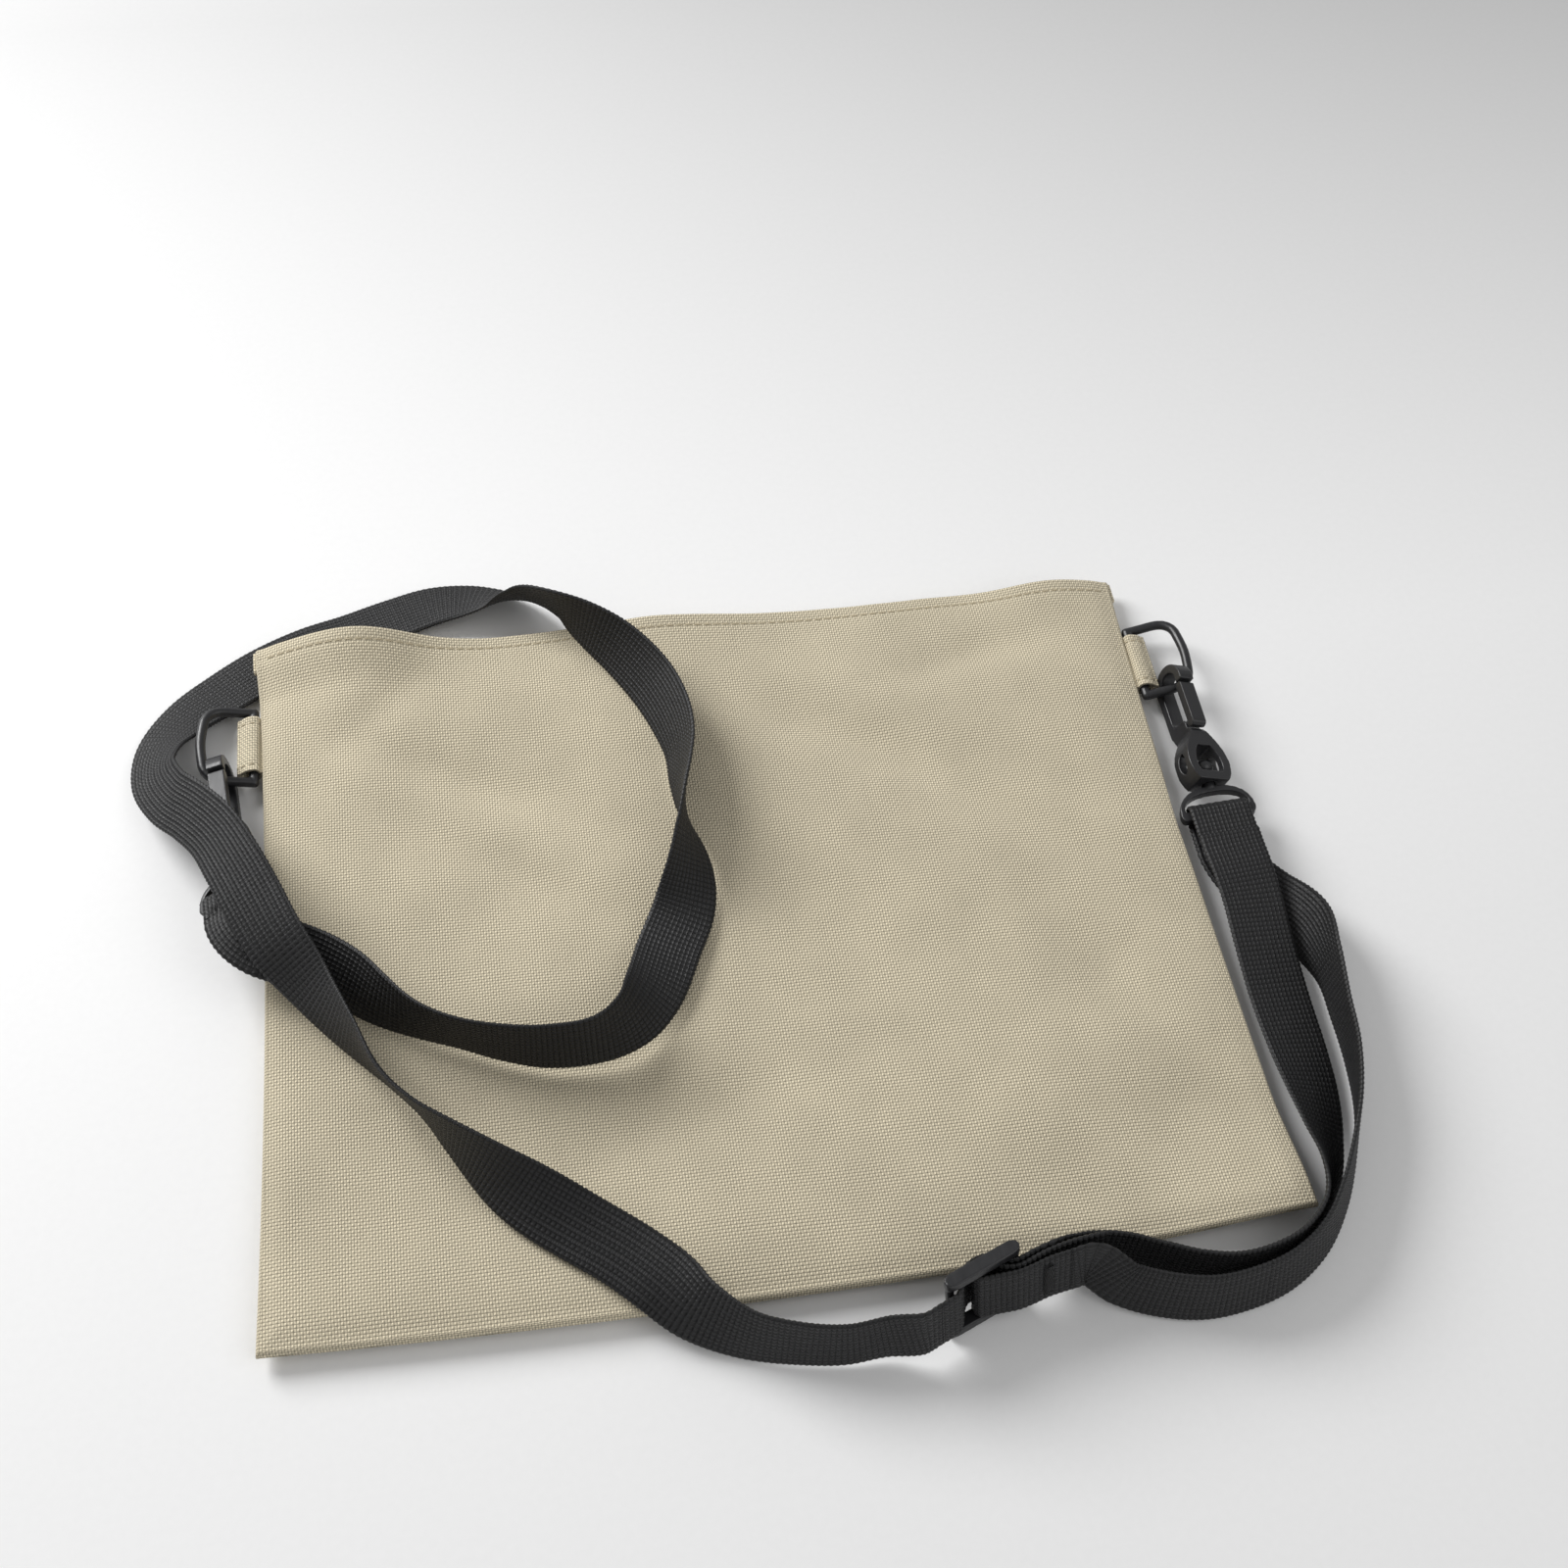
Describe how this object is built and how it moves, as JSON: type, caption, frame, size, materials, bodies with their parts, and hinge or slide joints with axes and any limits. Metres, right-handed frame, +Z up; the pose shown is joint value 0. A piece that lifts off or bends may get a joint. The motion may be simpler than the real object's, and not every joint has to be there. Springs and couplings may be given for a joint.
{
  "type": "flat sling pouch with detachable shoulder strap",
  "caption": "Flat open-topped fabric sling pouch hung from an adjustable webbing shoulder strap that clips with swivel snap hooks to a ring on each side",
  "frame": {"origin": "on the resting plane, under the middle of the pouch and its two rings and hooks; the free webbing is not counted", "axes": "+Z up out of the resting plane, +Y towards the open mouth, +X towards the right-hand ring as the front is seen"},
  "size_m": [0.3745, 0.2937, 0.0348],
  "materials": {
    "fabric": "plain woven cotton blend",
    "thread": "sewing thread",
    "webbing": "ribbed polypropylene webbing",
    "plastic": "moulded acetal, satin",
    "black_thread": "bonded thread"
  },
  "bodies": {
    "pouch": {"back_panel": "fabric", "front_panel": "fabric", "left_seam": "fabric", "right_seam": "fabric", "bottom_seam": "fabric", "front_hem_stitch": "thread", "back_hem_stitch": "thread", "left_tab": "fabric", "right_tab": "fabric", "left_tab_stitch": "thread", "right_tab_stitch": "thread", "strap_long": "webbing", "strap_short": "webbing", "strap_leg": "webbing"},
    "left_ring": {"left_ring": "plastic"},
    "left_hook": {"left_hook_body": "plastic"},
    "left_gate": {"left_gate": "plastic"},
    "left_swivel": {"left_swivel": "plastic", "left_strap_end": "webbing", "left_bar_tack": "black_thread"},
    "right_ring": {"right_ring": "plastic"},
    "right_hook": {"right_hook_body": "plastic"},
    "right_gate": {"right_gate": "plastic"},
    "right_swivel": {"right_swivel": "plastic", "right_strap_turn": "webbing"},
    "slider": {"slider": "plastic", "strap_in_slider": "webbing", "strap_fold": "webbing", "slider_bar_tack": "black_thread"}
  },
  "joints": [
    {"name": "left_ring_swing", "type": "hinge", "parent": "pouch", "child": "left_ring", "pos_m": [-0.1541, 0.08485, 0.005], "axis": [0, 1, 0], "range_deg": [0, 38], "deforming": ["strap_long"]},
    {"name": "left_hook_swing", "type": "hinge", "parent": "pouch", "child": "left_hook", "pos_m": [-0.1541, 0.08485, 0.005], "axis": [0, 1, 0], "range_deg": [0, 38], "deforming": ["strap_long"]},
    {"name": "left_gate_open", "type": "hinge", "parent": "left_hook", "child": "left_gate", "pos_m": [-0.16206, 0.05458, 0.01609], "axis": [-0.9766, -0.1665, -0.1361], "range_deg": [0, 15], "stiffness_Nm_per_rad": 0.005, "springref_deg": -11.46},
    {"name": "left_swivel_turn", "type": "hinge", "parent": "left_hook", "child": "left_swivel", "pos_m": [-0.15809, 0.03097, 0.01652], "axis": [-0.1361, 0.9686, -0.2079], "continuous": true, "deforming": ["strap_long"]},
    {"name": "right_ring_swing", "type": "hinge", "parent": "pouch", "child": "right_ring", "pos_m": [0.1499, 0.08425, 0.005], "axis": [0, -1, 0], "range_deg": [0, 45], "deforming": ["strap_short", "strap_leg"]},
    {"name": "right_hook_swing", "type": "hinge", "parent": "pouch", "child": "right_hook", "pos_m": [0.1499, 0.08425, 0.005], "axis": [0, -1, 0], "range_deg": [0, 45], "deforming": ["strap_short", "strap_leg"]},
    {"name": "right_gate_open", "type": "hinge", "parent": "right_hook", "child": "right_gate", "pos_m": [0.16103, 0.05235, 0.01216], "axis": [-0.9511, 0, 0.309], "range_deg": [0, 15], "stiffness_Nm_per_rad": 0.005, "springref_deg": -11.46},
    {"name": "right_swivel_turn", "type": "hinge", "parent": "right_hook", "child": "right_swivel", "pos_m": [0.15961, 0.02885, 0.00778], "axis": [0, 1, 0], "continuous": true, "deforming": ["strap_short", "strap_leg"]},
    {"name": "slider_slide", "type": "slide", "parent": "pouch", "child": "slider", "axis": [0.9336, 0.3584, 0], "range_m": [-0.01, 0.008], "deforming": ["strap_long", "strap_short", "strap_leg"]}
  ],
  "couplings": [
    {"joint": "left_ring_swing", "follows": "left_hook_swing", "ratio": 1},
    {"joint": "right_ring_swing", "follows": "right_hook_swing", "ratio": 1}
  ]
}
